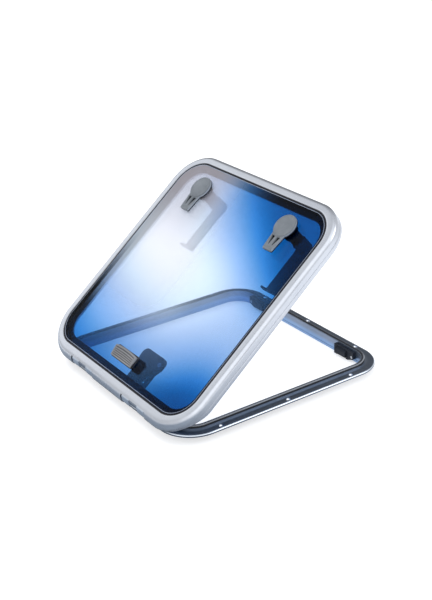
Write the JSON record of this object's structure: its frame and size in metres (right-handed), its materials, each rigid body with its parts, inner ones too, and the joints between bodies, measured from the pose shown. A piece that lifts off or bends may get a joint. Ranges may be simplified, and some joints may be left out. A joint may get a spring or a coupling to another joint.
{
  "type": "deck hatch",
  "caption": "Low-profile opening deck hatch: flanged alloy base frame, tinted acrylic lid on pinned hinges, turning latch handles and a squeeze-release brake lever.",
  "frame": {"origin": "centre of the deck cut-out, on the deck surface under the base flange", "axes": "+Z out of the deck, +X along the hinge line, +Y from the hinges towards the latches; the lid stands open by 39.5 degrees at rest"},
  "size_m": [0.516, 0.5119, 0.3656],
  "materials": {
    "base_alloy": "satin slate anodised, extruded and corner-bent",
    "lid_alloy": "satin silver anodised",
    "hinge_alloy": "dark satin anodised",
    "seal_rubber": "matt moulded rubber",
    "sealant": "black cured glazing sealant",
    "black_plastic": "fine textured black moulding",
    "grey_plastic": "fine textured grey moulding",
    "knob_grey": "moulded",
    "brake_lining": "friction lining",
    "stainless": "turned stainless steel",
    "acrylic": "polished cast acrylic, blue tint"
  },
  "bodies": {
    "base": {"base_frame": "base_alloy", "base_seal": "seal_rubber", "keeper_left": "black_plastic", "keeper_right": "black_plastic", "keeper_screws": "stainless", "hinge_base_left": "hinge_alloy", "hinge_base_right": "hinge_alloy", "hinge_base_screws": "stainless", "stay_track": "black_plastic", "stay_track_screws": "stainless"},
    "lid": {"lid_frame": "lid_alloy", "lid_pane": "acrylic", "glazing_bead": "sealant", "glazing_bed": "sealant", "hinge_lid_left": "lid_alloy", "hinge_lid_right": "lid_alloy", "hinge_lid_screws": "stainless", "hinge_pin_left": "stainless", "hinge_pin_right": "stainless", "hinge_caps": "black_plastic", "stay_pad": "grey_plastic", "stay_gasket": "seal_rubber", "stay_bracket": "black_plastic", "stay_washers": "seal_rubber", "stay_screws": "stainless", "stay_pin": "stainless", "stay_springs": "stainless", "handle_left_gasket": "seal_rubber", "handle_left_bush": "black_plastic", "handle_left_nut": "black_plastic", "handle_left_oring": "seal_rubber", "handle_right_gasket": "seal_rubber", "handle_right_bush": "black_plastic", "handle_right_nut": "black_plastic", "handle_right_oring": "seal_rubber"},
    "handle_left": {"handle_left_lever": "grey_plastic", "handle_left_spindle": "stainless", "handle_left_arm": "black_plastic", "handle_left_screw": "stainless"},
    "handle_right": {"handle_right_lever": "grey_plastic", "handle_right_spindle": "stainless", "handle_right_arm": "black_plastic", "handle_right_screw": "stainless"},
    "brake_lever": {"stay_lever": "black_plastic", "stay_shoe": "brake_lining", "stay_knob": "knob_grey"}
  },
  "joints": [
    {"name": "lid_hinge", "type": "hinge", "parent": "base", "child": "lid", "pos_m": [0, -0.2557, 0.0206], "axis": [1, 0, 0], "range_deg": [-39.5, 60.5]},
    {"name": "handle_left_turn", "type": "hinge", "parent": "lid", "child": "handle_left", "pos_m": [-0.143, 0.08204, 0.29823], "axis": [0, -0.6361, 0.7716], "range_deg": [0, 90]},
    {"name": "handle_right_turn", "type": "hinge", "parent": "lid", "child": "handle_right", "pos_m": [0.143, 0.08204, 0.29823], "axis": [0, -0.6361, 0.7716], "range_deg": [-90, 0]},
    {"name": "brake_lever_squeeze", "type": "hinge", "parent": "lid", "child": "brake_lever", "pos_m": [0, -0.18453, 0.0124], "axis": [1, 0, 0], "range_deg": [0, 10], "stiffness_Nm_per_rad": 1.5, "springref_deg": -14.32}
  ]
}
